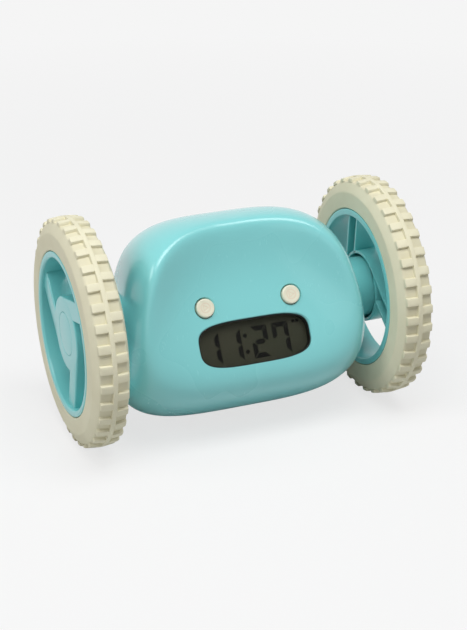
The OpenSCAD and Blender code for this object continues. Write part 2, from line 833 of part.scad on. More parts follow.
// Stubs outside the last switches, on which the setting board rests
stub_r = 1.2;
stub_x = set_spots[3] + switch_side / 2 + 2 * case_gap + stub_r;
stub_spots = [[-stub_x, set_v], [stub_x, set_v]];
set_board_w = 2 * (stub_x + stub_r + seat_gap);

// Plane that the setting buttons' flanges bear on, in a round pocket in the back
set_in = back_n + wall + 0.45;

module set_button(k) {
    color(ivory) {
        face_prism(back_n - 0.7, set_in + tiny) translate([set_spots[k], set_v]) circle(set_d / 2);
        face_prism(set_in, set_in + flange_t) translate([set_spots[k], set_v])
            circle(set_d / 2 + flange_w_out);
        face_prism(set_in + flange_t - tiny, set_board_n - switch_floor - press - stem_gap)
            translate([set_spots[k], set_v]) circle(stem_r);
    }
}

module set_board() {
    color(green) face_prism(set_board_n, set_board_n + board_t)
        translate([-set_board_w / 2, set_v - set_board_h / 2]) square([set_board_w, set_board_h]);
}

module set_switches() {
    floor_n = set_board_n - switch_floor;
    color([0.15, 0.15, 0.16]) for (x = set_spots) {
        face_prism(set_board_n - switch_h, floor_n) translate([x, set_v]) switch_outline();
        face_prism(floor_n - tiny, set_board_n) translate([x, set_v])
            square(switch_side, center = true);
    }
}

module sounder() {
    color([0.12, 0.12, 0.12]) face_prism(sounder_n, sounder_n + sounder_t) translate([0, sounder_v])
        circle(sounder_r);
}

// Children drawn as [along X, tangent, radius] about the middle of the battery cover
module at_bay() {
    translate([0, 0, axle_z]) rotate([bay_turn - 90, 0, 0]) children();
}

module cover_prism(gap) {
    at_bay() translate([gap - cover_half, cover_front + gap, cell_arc - 5])
        cube([2 * (cover_half - gap), cover_back - cover_front - 2 * gap, through]);
}

module rear_shell() {
    color(aqua) difference() {
        union() {
            on_face() half_shell(90, 0, wall);
            for (spot = post_spots) wall_post(spot, post_r + 0.4, seam_n, -1);
            for (spot = stub_spots) wall_post(spot, stub_r, set_board_n, -1);
            wall_post([0, sounder_v], sounder_r + 1.4, sounder_n + sounder_t, -1);
        }
        cover_prism(0);
        for (x = set_spots) {
            face_prism(back_n - 5, set_in + 1) translate([x, set_v]) circle(set_d / 2 + seat_gap);
            face_prism(set_in - seat_gap, set_in + wall) translate([x, set_v])
                circle(set_d / 2 + flange_w_out + seat_gap);
        }
        for (spot = post_spots) {
            face_prism(-through, case_head_n) translate(spot) circle(case_head_r + 0.2);
            face_prism(-through, seam_n + 1) translate(spot) circle(case_screw_r + 0.2);
        }
        face_prism(sounder_n - 0.6, 0) translate([0, sounder_v]) circle(sounder_r + seat_gap);
        for (k = [-2:2], j = [-1:1]) face_prism(back_n - 5, sounder_n)
            translate([k * 2.2, sounder_v + j * 2.4]) circle(0.6);
        sleeve_holes();
    }
}

module case_screws() {
    color(steel) for (spot = post_spots) {
        face_prism(case_head_n - 1.6, case_head_n) translate(spot) circle(case_head_r);
        face_prism(case_head_n - tiny, seam_n + 8.6) translate(spot) circle(case_screw_r);
    }
}

module battery_cover() {
    color(aqua) difference() {
        union() {
            intersection() {
                on_face() half_shell(90, 0, wall);
                cover_prism(case_gap);
            }
            at_bay() translate([0, cover_screw_t, cover_post + case_gap]) cylinder(r = 3.2, h = 3.2);
        }
        at_bay() translate([0, cover_screw_t, cover_seat]) cylinder(r = cover_head_r + 0.2, h = through);
        at_bay() translate([0, cover_screw_t, cell_arc - 6]) cylinder(r = cover_screw_r + 0.2, h = through);
    }
}

module cover_screw() {
    color(steel) at_bay() {
        translate([0, cover_screw_t, cover_seat]) cylinder(r = cover_head_r, h = 1.2);
        translate([0, cover_screw_t, cover_post - 4.2])
            cylinder(r = cover_screw_r, h = cover_seat - cover_post + 4.3);
    }
}

function cell_at(k) = let (a = bay_turn + (k - (cell_count - 1) / 2) * cell_step)
    cell_arc * [cos(a), sin(a)];

module battery_cells() {
    nub_r = 2.7;
    color([0.25, 0.45, 0.35]) for (k = [0:cell_count - 1]) side(k % 2 == 0 ? 1 : -1) {
        rod(cell_at(k), cell_r, -cell_l / 2, cell_l);
        rod(cell_at(k), nub_r, cell_l / 2 - tiny, 0.8);
    }
}

module battery_contacts() {
    leaf = 0.3;
    color(steel) for (k = [0:cell_count - 1]) side(k % 2 == 0 ? 1 : -1) {
        rod(cell_at(k), 4, bay_end - leaf, leaf);
        rod(cell_at(k), 4, -bay_end, leaf);
        tube(cell_at(k), 2.6, 1.8, leaf - bay_end - tiny, bay_end - leaf - cell_l / 2);
    }
}

module sector(r0, r1, a0, a1) {
    difference() {
        intersection() {
            circle(r1);
            polygon(concat([[0, 0]], [for (k = [0:8]) let (a = a0 + (a1 - a0) * k / 8)
                through * [cos(a), sin(a)]]));
        }
        circle(r0);
    }
}

module battery_bay() {
    low = bay_turn - bay_half;
    high = bay_turn + bay_half;
    floor_r = cell_arc - cell_r - bay_gap - bay_wall;
    color(ivory) difference() {
        union() {
            along_x(-bay_end - bay_wall, 2 * (bay_end + bay_wall))
                sector(floor_r, floor_r + bay_wall, low, high);
            for (hand = [-1, 1]) side(hand) along_x(bay_end, bay_wall)
                sector(floor_r + bay_wall / 2, cell_arc + cell_r + 0.8, low, high);
            along_x(-3, 6) rotate(bay_turn) polygon([[floor_r - 4.9, -13.4], [floor_r - 3.8, -14.4],
                [floor_r - 2.4, -20], [floor_r + 1.3, -21], [floor_r + 4.3, -20.4], [cover_post, -19.8],
                [cover_post, -23.6], [floor_r + 0.8, -24.2], [floor_r - 4.2, -21.5]]);
        }
        at_bay() translate([0, cover_screw_t, cover_post - 4.5])
            cylinder(r = cover_screw_r + run_gap, h = 5);
        for (hand = [-1, 1]) side(hand) rod(pillars[2], box_head_r + case_gap, bay_end - tiny, wall);
    }
}

front_shell();
rear_shell();
battery_cover();
cover_screw();
display_lens();
display_cell();
display_digits();
display_frame();
contact_strip();
main_board();
board_parts();
board_screws();
eye_switches();
eye_button(-1);  // left_eye_button
eye_button(1);  // right_eye_button
set_board();
set_switches();
set_button(0);  // hour_button
set_button(1);  // minute_button
set_button(2);  // time_button
set_button(3);  // alarm_button
sounder();
battery_cells();
battery_bay();
battery_contacts();
case_screws();
motor(-1);  // left_motor
motor(1);  // right_motor
rotor(-1);  // left_rotor
rotor(1);  // right_rotor
gear_one(-1);  // left_gear_one
gear_one(1);  // right_gear_one
gear_two(-1);  // left_gear_two
gear_two(1);  // right_gear_two
axle_gear(-1);  // left_axle_gear
axle_gear(1);  // right_axle_gear
axle(-1);  // left_axle
axle(1);  // right_axle
gear_pins();
axle_bushes();
gearbox_plate(-1);  // left_gearbox_plate
gearbox_plate(1);  // right_gearbox_plate
gearbox_cover(-1);  // left_gearbox_cover
gearbox_cover(1);  // right_gearbox_cover
gearbox_screws();
rim(-1, left_turn);  // left_rim
rim(1, right_turn);  // right_rim
tyre(-1);  // left_tyre
tyre(1);  // right_tyre
hub_cap(-1);  // left_hub_cap
hub_cap(1);  // right_hub_cap
wheel_screw(-1);  // left_wheel_screw
wheel_screw(1);  // right_wheel_screw
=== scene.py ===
# Two-wheeled alarm clock that rolls off the bedside table: a gloss aqua housing between two big
# wheels with cream rubber tyres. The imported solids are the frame; the pieces here are its looks.
import json
import math

import bmesh
import bpy
import numpy as np
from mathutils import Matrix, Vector


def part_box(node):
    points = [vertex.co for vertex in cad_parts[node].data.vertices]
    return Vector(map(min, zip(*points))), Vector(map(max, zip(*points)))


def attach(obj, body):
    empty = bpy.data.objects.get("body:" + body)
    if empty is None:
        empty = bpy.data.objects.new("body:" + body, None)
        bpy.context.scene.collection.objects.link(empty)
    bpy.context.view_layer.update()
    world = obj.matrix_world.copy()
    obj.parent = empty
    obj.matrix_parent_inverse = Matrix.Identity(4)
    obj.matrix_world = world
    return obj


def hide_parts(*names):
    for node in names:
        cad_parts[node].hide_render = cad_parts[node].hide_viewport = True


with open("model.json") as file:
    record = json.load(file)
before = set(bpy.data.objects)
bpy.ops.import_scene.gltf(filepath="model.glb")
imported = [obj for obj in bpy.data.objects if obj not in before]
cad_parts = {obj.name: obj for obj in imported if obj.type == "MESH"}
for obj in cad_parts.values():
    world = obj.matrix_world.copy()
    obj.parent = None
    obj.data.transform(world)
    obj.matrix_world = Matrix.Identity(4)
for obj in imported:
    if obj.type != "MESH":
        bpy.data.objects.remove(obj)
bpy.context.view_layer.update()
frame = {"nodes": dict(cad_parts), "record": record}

# --- Front and rear shell ---------------------------------------------------------------------
# Two injection-moulded ABS halves, 2 mm thick and high-gloss, that meet in a parting plane behind
# the face and are held by four screws from the back. The face is flat round the window and rises
# in a dish to a brow, an arch over the top and down both sides.
MM = 0.001
tyre_low, tyre_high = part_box("left_tyre")
axle_z = (tyre_low.z + tyre_high.z) / 2 / MM
tilt = math.radians(30.2)  # by which the face leans back
wall = 2.0
seam_n, mid_v = -5.7, 8.9  # the parting plane, and the middle of the cross-section
body_w, front_depth, back_depth = 93.4, 44.0, 33.0
top_h, bottom_h = 29.2, 48.0
face_n = 21.7  # the flat face, from the axle line
# The brow: its height, the shares of the arch between which it rises, and how much more at the sides
brow_depth, brow_start, brow_end, brow_sides = 9.5, 0.32, 1.15, 1.2
brow_half_w, brow_h, brow_v, brow_exp = 40.8, 39.5, -11.0, 2.3  # the arch of its crest
end_exp, side_exp = 3.8, 2.2  # superellipses: plan of the ends, and cross-section
edge_low, edge_high = 12.0, 25.0  # how sharply face and sides meet, at the chin and the brow
end_flare, front_flare, flare_span = 0.21, 0.08, 40.0
pole = math.radians(89.4)  # how far the last rings of the ends go
post_spots = [(20, 22), (-20, 22), (30.2, -30), (-30.2, -30)]
sleeve_r, sleeve_from, sleeve_to = 12.0, 30, 60
thin = 0.01


def to_world(points):
    """Face coordinates [x, v up the face, n out of it] in millimetres, to the frame in metres."""
    x, v, n = np.asarray(points, float).reshape(-1, 3).T
    y = -n * math.cos(tilt) + v * math.sin(tilt)
    z = axle_z + n * math.sin(tilt) + v * math.cos(tilt)
    return np.stack([x, y, z], 1) * MM


def widen(v, n):
    """Share by which the housing's width grows downwards and towards the front."""
    return 1 - end_flare * v / flare_span + front_flare * n / flare_span


def reach(size, x0, turn, depth):
    """Distance of the skin from the middle of the cross-section in the direction turn."""
    c, s = np.cos(turn), np.sin(turn)
    reach_n = np.where(c > 0, front_depth, back_depth) - depth
    reach_v = np.where(s > 0, top_h, bottom_h) - depth
    round_r = size * ((np.abs(c) / reach_n) ** side_exp
                      + (np.abs(s) / reach_v) ** side_exp) ** (-1 / side_exp)
    ahead = np.maximum(c, thin)
    flat = (face_n - depth - seam_n) / ahead
    high, v = (1 + s) / 2, mid_v + flat * s
    side = np.abs(x0 * widen(v, face_n)) / brow_half_w
    out = (side ** brow_exp + (np.maximum(v - brow_v, 0) / brow_h) ** brow_exp) ** (1 / brow_exp)
    rise = np.clip((out - brow_start) / (1 - brow_start), 0, brow_end) ** 2
    face_r = flat + brow_depth * high * (1 + brow_sides * side ** 2) * rise / ahead
    edge = edge_low + (edge_high - edge_low) * high ** 2
    both = (round_r ** -edge + face_r ** -edge) ** (-1 / edge)
    return np.where(c > thin, both, round_r)


def skin(ring, turn, depth):
    """Points of the housing's skin, as [x, v, n], for a station from -1 to 1 and a direction."""
    end = pole * ring
    size = np.cos(end) ** (2 / end_exp)
    x0 = (body_w / 2 - depth) * np.sign(ring) * np.abs(np.sin(end)) ** (2 / end_exp)
    r = reach(size, x0, turn, depth)
    n, v = seam_n + r * np.cos(turn), mid_v + r * np.sin(turn)
    return np.stack([x0 * widen(v, n), v, n], -1)


def skin_over(x, v, depth, way):
    """Distance n of the skin over a point of the face plane, to the front (1) or the back (-1)."""
    low, high, halvings = 0.0, 50.0, 18
    for _ in range(halvings):
        n = seam_n + way * (low + high) / 2
        x0 = x / widen(v, n)
        size = max(0.0, 1 - (abs(x0) / (body_w / 2 - depth)) ** end_exp) ** (1 / end_exp)
        turn = math.atan2(v - mid_v, n - seam_n)
        if math.hypot(n - seam_n, v - mid_v) < reach(max(size, thin), x0, turn, depth):
            low = (low + high) / 2
        else:
            high = (low + high) / 2
    return seam_n + way * low


def grid_faces(rows, columns, base=0, flip=False):
    """The quads of a grid of points that stand in rows, from the point numbered base."""
    faces = []
    for i in range(rows - 1):
        for j in range(columns - 1):
            a = base + i * columns + j
            quad = (a, a + columns, a + columns + 1, a + 1)
            faces.append(quad[::-1] if flip else quad)
    return faces


def piece(name, points, faces, sharp=32, merge=0.0):
    """A mesh object from points in the frame, in metres, smooth but for its sharp edges."""
    mesh = bpy.data.meshes.new(name)
    mesh.from_pydata([tuple(p) for p in points], [], [tuple(f) for f in faces])
    whole = bmesh.new()
    whole.from_mesh(mesh)
    if merge:
        bmesh.ops.remove_doubles(whole, verts=whole.verts, dist=merge)
    bmesh.ops.recalc_face_normals(whole, faces=whole.faces)
    whole.to_mesh(mesh)
    whole.free()
    mesh.shade_smooth()
    mesh.set_sharp_from_angle(angle=math.radians(sharp))
    made = bpy.data.objects.new(name, mesh)
    bpy.context.scene.collection.objects.link(made)
    return made


def cut(body, cutters, how="DIFFERENCE", sharp=32):
    """Cuts solids out of a piece, or keeps only what they share, and removes the cutters."""
    for cutter in cutters:
        change = body.modifiers.new("cut", "BOOLEAN")
        change.object, change.operation, change.solver = cutter, how, "EXACT"
    bpy.context.view_layer.update()
    seen = body.evaluated_get(bpy.context.evaluated_depsgraph_get())
    old, body.data = body.data, bpy.data.meshes.new_from_object(seen)
    body.modifiers.clear()
    bpy.data.meshes.remove(old)
    for cutter in cutters:
        bpy.data.objects.remove(cutter)
    body.data.shade_smooth()
    body.data.set_sharp_from_angle(angle=math.radians(sharp))
    return body


def prism(name, outline, levels, place=to_world):
    """A closed solid through copies of an outline [(x, v)], each at a level n and grown outwards."""
    outline = np.asarray(outline, float)
    after, before = np.roll(outline, -1, 0), np.roll(outline, 1, 0)
    along = after - before
    normal = np.stack([along[:, 1], -along[:, 0]], 1)
    normal /= np.linalg.norm(normal, axis=1)[:, None]
    count = len(outline)
    rows = [np.column_stack([outline + normal * grow, np.full(count, n)]) for n, grow in levels]
    faces = [(i * count + j, i * count + (j + 1) % count, (i + 1) * count + (j + 1) % count,
              (i + 1) * count + j) for i in range(len(levels) - 1) for j in range(count)]
    faces += [range(count - 1, -1, -1), range((len(levels) - 1) * count, len(levels) * count)]
    return piece(name, place(np.concatenate(rows)), faces)


def circle(centre, r, count=48):
    """The points of a circle, as [(x, v)]."""
    return [(centre[0] + r * math.cos(a), centre[1] + r * math.sin(a))
            for a in np.linspace(0, 2 * math.pi, count, endpoint=False)]


def half_shell(name, start, rings=150, arcs=110):
    """Half of the hollow housing, with a small bevel where its outer skin meets the seam."""
    bevel, bevel_turn = 0.3, 0.009
    inner_turns = np.linspace(0, math.pi, arcs)[1:-1]
    turn = math.radians(start) + np.concatenate([[0, bevel_turn], inner_turns,
                                                 [math.pi - bevel_turn, math.pi]])
    sunk = np.zeros(len(turn))
    sunk[[0, -1]] = bevel
    rings_at, turns_at = np.meshgrid(np.linspace(-1, 1, rings), turn, indexing="ij")
    outer, inner = skin(rings_at, turns_at, sunk), skin(rings_at, turns_at, wall)
    columns, size = len(turn), rings * len(turn)
    faces = grid_faces(rings, columns) + grid_faces(rings, columns, size, True)
    for j in (0, columns - 1):
        for i in range(rings - 1):
            a, b = i * columns + j, (i + 1) * columns + j
            faces.append((a, b, b + size, a + size))
    for i in (0, rings - 1):
        row = [i * columns + j for j in range(columns)]
        faces.append(row)
        faces.append([size + k for k in row])
        faces.append((row[0], row[-1], size + row[-1], size + row[0]))
    return piece(name, to_world(np.concatenate([outer.reshape(-1, 3), inner.reshape(-1, 3)])), faces)


def post(spot, r, start, way, count=40):
    """A straight post behind the face or the back, from a plane into the middle of the wall."""
    ring = circle(spot, r, count)
    foot = [(x, v, start) for x, v in ring]
    head = [(x, v, skin_over(x, v, wall / 2, way)) for x, v in ring]
    faces = [(k, (k + 1) % count, count + (k + 1) % count, count + k) for k in range(count)]
    faces += [range(count), range(count, 2 * count)]
    return piece("post", to_world(foot + head), faces)


class Wire:
    """A shader value that adds, multiplies and compares like a number."""

    def __init__(self, tree, socket):
        self.tree, self.socket = tree, socket

    def put(self, socket, value):
        if isinstance(value, Wire):
            self.tree.links.new(value.socket, socket)
        else:
            socket.default_value = value

    def math(self, operation, first, second=0.0, clamp=False):
        node = self.tree.nodes.new("ShaderNodeMath")
        node.operation, node.use_clamp = operation, clamp
        self.put(node.inputs[0], first)
        self.put(node.inputs[1], second)
        return Wire(self.tree, node.outputs[0])

    def __add__(self, other): return self.math("ADD", self, other)
    def __radd__(self, other): return self.math("ADD", other, self)
    def __sub__(self, other): return self.math("SUBTRACT", self, other)
    def __rsub__(self, other): return self.math("SUBTRACT", other, self)
    def __mul__(self, other): return self.math("MULTIPLY", self, other)
    def __rmul__(self, other): return self.math("MULTIPLY", other, self)
    def __truediv__(self, other): return self.math("DIVIDE", self, other)
    def __abs__(self): return self.math("ABSOLUTE", self)

    def clamp(self):
        return self.math("ADD", self, 0.0, True)

    def root(self):
        return self.math("SQRT", self)

    def most(self, other):
        return self.math("MAXIMUM", self, other)

    def step(self, low, high):
        """0 below low, 1 above high and a straight ramp between."""
        return ((self - low) / (high - low)).clamp()


class Finish:
    """One material: its constants sit on the shader's own sockets, and its patterns are wires."""

    def __init__(self, name, **constants):
        self.material = bpy.data.materials.new(name)
        self.material.use_nodes = True
        self.tree = self.material.node_tree
        self.shader = self.tree.nodes["Principled BSDF"]
        self.constants(**constants)
        self.place = self.node("TexCoord", out="Object")

    def constants(self, **values):
        for key, value in values.items():
            self.shader.inputs[key.replace("_", " ")].default_value = value

    def node(self, kind, out=0, settings=(), **inputs):
        """Any node by its type, its settings and its sockets' values or links."""
        node = self.tree.nodes.new("ShaderNode" + kind)
        for key, value in dict(settings).items():
            setattr(node, key, value)
        for key, value in inputs.items():
            Wire(self.tree, None).put(node.inputs[key.replace("_", " ")], value)
        return Wire(self.tree, node.outputs[out])

    def noise(self, scale, detail=3.0, roughness=0.5, at=None):
        return self.node("TexNoise", "Fac", Vector=at or self.place, Scale=scale, Detail=detail,
                         Roughness=roughness)

    def mix(self, share, first, second):
        """A colour between two, by a share from 0 to 1."""
        node = self.tree.nodes.new("ShaderNodeMix")
        node.data_type = "RGBA"
        wire = Wire(self.tree, None)
        for index, value in ((0, share), (6, first), (7, second)):
            wire.put(node.inputs[index], value)
        return Wire(self.tree, node.outputs[2])

    def parts(self, vector=None):
        """The X, Y and Z of a vector, by default of the place on the piece in metres."""
        node = self.tree.nodes.new("ShaderNodeSeparateXYZ")
        self.tree.links.new((vector or self.place).socket, node.inputs[0])
        return [Wire(self.tree, socket) for socket in node.outputs]

    def paint(self, **wires):
        """Links patterns to the shader: Base_Color, Roughness, Metallic, Alpha and so on."""
        for key, value in wires.items():
            Wire(self.tree, None).put(self.shader.inputs[key.replace("_", " ")], value)
        return self.material

    def bump(self, height, distance, strength=1.0):
        """Relief in metres, which feeds the shader's normal."""
        return self.node("Bump", Height=height, Distance=distance, Strength=strength)


def tone(red, green, blue, scale=1.0):
    """A colour as it looks on screen, 0 to 255, as the shader's own numbers."""
    return tuple(((c * scale / 255) / 12.92 if c * scale <= 10
                  else ((c * scale / 255 + 0.055) / 1.055) ** 2.4)
                 for c in (red, green, blue)) + (1.0,)


def gloss_plastic(name, colour, rough, coat, speckle=0.012, relief=0.000004):
    """Moulded plastic: a hint of pigment flow, hair-fine wipe marks and a slightly wavy gloss."""
    made = Finish(name, Specular_IOR_Level=0.4, Coat_Roughness=0.09, Coat_IOR=1.45)
    flow = made.noise(22.0, 2.0)
    shade = made.mix(flow, tuple(c * (1 - speckle) for c in colour[:3]) + (1,),
                     tuple(min(1, c * (1 + speckle)) for c in colour[:3]) + (1,))
    wiped = made.node("Mapping", Vector=made.place, Scale=(900.0, 60.0, 300.0))
    marks = made.noise(1.0, 2.0, 0.6, wiped).step(0.66, 0.9)
    skin_wave = made.noise(140.0, 1.0)
    return made.paint(Base_Color=shade, Roughness=rough + 0.03 * marks + 0.03 * flow,
                      Coat_Weight=coat - 0.03 * marks, Normal=made.bump(skin_wave, relief))


aqua_gloss = gloss_plastic("aqua_gloss", tone(128, 206, 207), 0.26, 0.5)


def dress(made, body, material, slot, *replaced):
    """Gives a piece its material and its body, and hides the solids that it stands for. The slot is
    not used.
    """
    made.data.materials.clear()
    made.data.materials.append(material)
    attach(made, body)
    if replaced:
        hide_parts(*replaced)
    return made


def bar_along_x(name, r, low, high, place=(0, 0), count=72):
    """A round bar along X, at [y, z] from the axle line, in millimetres."""
    return prism(name, circle(place, r, count), [(low, 0), (high, 0)],
                 lambda p: np.stack([p[:, 2], p[:, 0], axle_z + p[:, 1]], 1) * MM)


eye_d, eye_x, eye_v = 7.2, 17.6, -0.75
window_w, window_h, window_x, window_v, window_exp = 45.4, 17.6, 0.2, -15.8, 3.6
seat_gap, case_gap = 0.1, 0.3
window_lip, eye_lip = 0.45, 0.35
front_post_r, front_bore_r, bore_depth = 3.3, 1.15, 9


def rounded_hole(outline, lip, steps=5):
    """The cutter of a hole in the face, which also rounds the hole's edge."""
    levels = [(face_n - 9, 0)]
    for a in np.linspace(0, math.pi / 2, steps):
        levels.append((face_n - lip + lip * math.sin(a), lip * (1 - math.cos(a))))
    levels.append((face_n + 12, lip + 0.02))
    return prism("face_hole", outline, levels)


def sleeve_holes():
    """The two round openings that the axle sleeves stand out of."""
    return [bar_along_x("sleeve_hole", sleeve_r + case_gap, low, high)
            for low, high in ((-sleeve_to, -sleeve_from), (sleeve_from, sleeve_to))]


def window_shape(inset, count=96):
    """The display window's outline on the face, a superellipse, or one drawn inside it."""
    a = np.linspace(0, 2 * math.pi, count, endpoint=False)
    half_w, half_h, power = window_w / 2 - inset, window_h / 2 - inset, 2 / window_exp
    return np.stack([window_x + half_w * np.sign(np.cos(a)) * np.abs(np.cos(a)) ** power,
                     window_v + half_h * np.sign(np.sin(a)) * np.abs(np.sin(a)) ** power], 1)


front = half_shell("front_housing", -90, arcs=170)
cut(front, [post(spot, front_post_r, seam_n, 1) for spot in post_spots], "UNION")
holes = [rounded_hole(window_shape(0), window_lip)]
holes += [rounded_hole(circle((x, eye_v), eye_d / 2 + case_gap, 64), eye_lip) for x in (-eye_x, eye_x)]
holes += [prism("screw_bore", circle(spot, front_bore_r), [(seam_n - 1, 0), (seam_n + bore_depth, 0)])
          for spot in post_spots]
dress(cut(front, holes + sleeve_holes()), "housing", aqua_gloss, "aqua_gloss", "front_shell")

# --- Rear shell and battery cover ---------------------------------------------------------------
# The other half of the same moulding, which carries the battery cover, the four setting buttons,
# the sounder's grille and the screws' deep holes; the cover lifts out once its one screw is undone.
bay_turn, cell_step = math.radians(-67), math.radians(22)
cell_d, cell_gap = 10.5, 0.18
cell_arc = (cell_d + cell_gap) / 2 / math.sin(cell_step / 2)
cover_half, cover_front, cover_back = 24.75, -25.0, 21.5
cover_screw_t, cover_seat, cover_sink_r = -21.5, 30.2, 2.4
set_v, set_d, set_pitch, set_gap = 9.0, 5.2, 12.0, 0.2
back_n = seam_n - back_depth
set_spots = [k * set_pitch for k in (-1.5, -0.5, 0.5, 1.5)]
rear_post_r, rear_bore_r, head_hole_r, case_head_n = 3.7, 1.3, 2.5, seam_n - 6
sounder_v, sounder_n = 21.0, back_n + 10.8
sounder_cup_r, sounder_cup_t, sounder_seat_r, sounder_seat_t = 7.9, 4, 6.6, 0.6
grille_r, grille_step_x, grille_step_v = 0.6, 2.2, 2.4


def at_bay(points):
    """[x, tangent, radius] about the middle of the battery cover, to the frame in metres."""
    x, t, r = np.asarray(points, float).reshape(-1, 3).T
    a = bay_turn - math.pi / 2
    y, z = t * math.cos(a) - r * math.sin(a), t * math.sin(a) + r * math.cos(a)
    return np.stack([x, y, axle_z + z], 1) * MM


def cover_block(name, gap, round_r=1.6):
    """A block with rounded corners, in the bay's frame, that cuts the opening or trims the cover."""
    low, high = cover_front + gap, cover_back - gap
    half = cover_half - gap
    outline = []
    for cx, cy, start in ((half, high, 0), (-half, high, 90), (-half, low, 180), (half, low, 270)):
        sx, sy = math.copysign(round_r, cx), (round_r if cy == high else -round_r)
        outline += [(cx - sx + round_r * math.cos(math.radians(start + k * 15)),
                     cy - sy + round_r * math.sin(math.radians(start + k * 15))) for k in range(7)]
    return prism(name, outline, [(cell_arc - 5, 0), (cell_arc + 60, 0)], at_bay)


def round_hole(name, spot, r, low, high, count=32):
    """The cutter of a straight round hole through the back."""
    return prism(name, circle(spot, r, count), [(low, 0), (high, 0)])


rear = half_shell("rear_housing", 90)
cut(rear, [post(spot, rear_post_r, seam_n, -1) for spot in post_spots]
    + [post((0, sounder_v), sounder_cup_r, sounder_n + sounder_cup_t, -1)], "UNION")
holes = [cover_block("cover_hole", 0)]
holes += [round_hole("set_hole", (x, set_v), set_d / 2 + set_gap, back_n - 5, back_n + 12)
          for x in set_spots]
for spot in post_spots:
    holes += [round_hole("head_hole", spot, head_hole_r, -80, case_head_n),
              round_hole("screw_bore", spot, rear_bore_r, case_head_n - 1, seam_n + 1)]
holes.append(round_hole("sounder_seat", (0, sounder_v), sounder_seat_r, sounder_n - sounder_seat_t, 0))
holes += [round_hole("grille_hole", (k * grille_step_x, sounder_v + j * grille_step_v), grille_r,
                     back_n - 5, sounder_n, 16) for k in range(-2, 3) for j in range(-1, 2)]
dress(cut(rear, holes + sleeve_holes()), "housing", aqua_gloss, "aqua_gloss", "rear_shell")

cover = half_shell("battery_lid_panel", 90)
cut(cover, [cover_block("cover_edge", case_gap, 1.4)], "INTERSECT")
cut(cover, [prism("screw_sink", circle((0, cover_screw_t), cover_sink_r, 40),
                  [(cover_seat, 0), (60, 0)], at_bay)])
dress(cover, "battery_lid", aqua_gloss, "aqua_gloss", "battery_cover")

# --- Display ------------------------------------------------------------------------------------
# A clear smoked lens whose edge is printed black, over a glass cell with a dark grey polariser and
# black segments; the lens sits just below the face and the cell about three millimetres below it.
lens_back, lens_front = 18.6, 21.0
glass_back, glass_front = 16.4, 18.4
print_t, lens_edge = 0.35, 0.2
cell_half_w, cell_half_h = 23, 9.75
digit_h, digit_w, digit_stroke, ink_t = 12.4, 6.8, 1.9, 0.02
figure_right = [-13.2, -4.3, 6.6, 15.4]
figures = ["0110000", "0110000", "1101101", "1110010"]
colon_x, colon_r, figure_v = -2.6, 0.85, window_v - 0.6
flag_left, flag_v, flag_w, flag_h = (17.3, 18.9), window_v + 5.6, 1.2, 1.1

smoke = Finish("smoke_lens", IOR=1.49, Alpha=0.1, Specular_IOR_Level=0.22)
grime = smoke.noise(260.0, 2.0).step(0.45, 0.75)
smoke_lens = smoke.paint(Base_Color=smoke.mix(grime, tone(24, 24, 18), tone(34, 33, 26)),
                         Roughness=0.05 + 0.05 * grime)
lens = prism("display_window", window_shape(seat_gap + print_t),
             [(lens_back + 0.05, 0), (lens_front - lens_edge, 0), (lens_front - 0.06, -0.06),
              (lens_front, -lens_edge)])
dress(lens, "housing", smoke_lens, "smoke_lens", "display_lens")

border = Finish("black_border", Specular_IOR_Level=0.3)
speck = border.noise(300.0)
border_black = border.paint(Base_Color=border.mix(speck, tone(9, 11, 9), tone(18, 20, 16)),
                            Roughness=0.4 + 0.2 * speck)


def ring_prism(name, outer, inner, low, high):
    """A flat frame between two outlines of equally many points, in face coordinates."""
    count = len(outer)
    rows = [np.column_stack([edge, np.full(count, n)])
            for edge, n in ((outer, low), (inner, low), (inner, high), (outer, high))]
    faces = [(i * count + j, i * count + (j + 1) % count, (i + 1) % 4 * count + (j + 1) % count,
              (i + 1) % 4 * count + j) for i in range(4) for j in range(count)]
    return piece(name, to_world(np.concatenate(rows)), faces)


dress(ring_prism("display_border", window_shape(seat_gap), window_shape(seat_gap + print_t - 0.01),
                 glass_front + 0.04, lens_front), "housing", border_black, "black_segments")

cell = Finish("cell_glass", Specular_IOR_Level=0.15)
grain = cell.noise(700.0, 3.0, 0.6)
drift = cell.noise(45.0, 1.0)
glass_tone = cell.mix(drift.step(0.3, 0.7), tone(58, 62, 47), tone(68, 68, 54))
glass_tone = cell.mix(0.25 * grain, glass_tone, tone(48, 48, 37))
cell_glass = cell.paint(Base_Color=glass_tone, Roughness=0.36 + 0.1 * grain)
glass = prism("display_glass", [(sx * cell_half_w, window_v + sv * cell_half_h)
                                for sx, sv in ((-1, -1), (1, -1), (1, 1), (-1, 1))],
              [(glass_back, 0), (glass_front, 0)])
dress(glass, "housing", cell_glass, "cell_glass", "display_cell")


def segment_bars(on, middle):
    """The lit bars of one figure, mitred where two could meet: top, right pair, bottom, left
    pair, middle."""
    w, h, s, gap = digit_w / 2, digit_h / 2, digit_stroke, 0.16
    top = [(-w + gap, h), (w - gap, h), (w - s - gap, h - s), (-w + s + gap, h - s)]
    upper = [(w, h - gap), (w, gap * 0.9), (w - s / 2, gap * 0.6 + 0.25), (w - s, s / 2 + gap),
             (w - s, h - s - gap)]
    centre = [(-w + s / 2 + 0.3, 0), (-w + s + 0.1, s / 2), (w - s - 0.1, s / 2),
              (w - s / 2 - 0.3, 0), (w - s - 0.1, -s / 2), (-w + s + 0.1, -s / 2)]
    flip = {0: (1, 1), 1: (1, 1), 2: (1, -1), 3: (1, -1), 4: (-1, -1), 5: (-1, 1), 6: (1, 1)}
    shapes = {0: top, 1: upper, 2: upper, 3: top, 4: upper, 5: upper, 6: centre}
    found = []
    for k, lit in enumerate(on):
        if lit == "1":
            fx, fv = flip[k]
            found.append([(middle + fx * x, figure_v + fv * v) for x, v in shapes[k]])
    return found


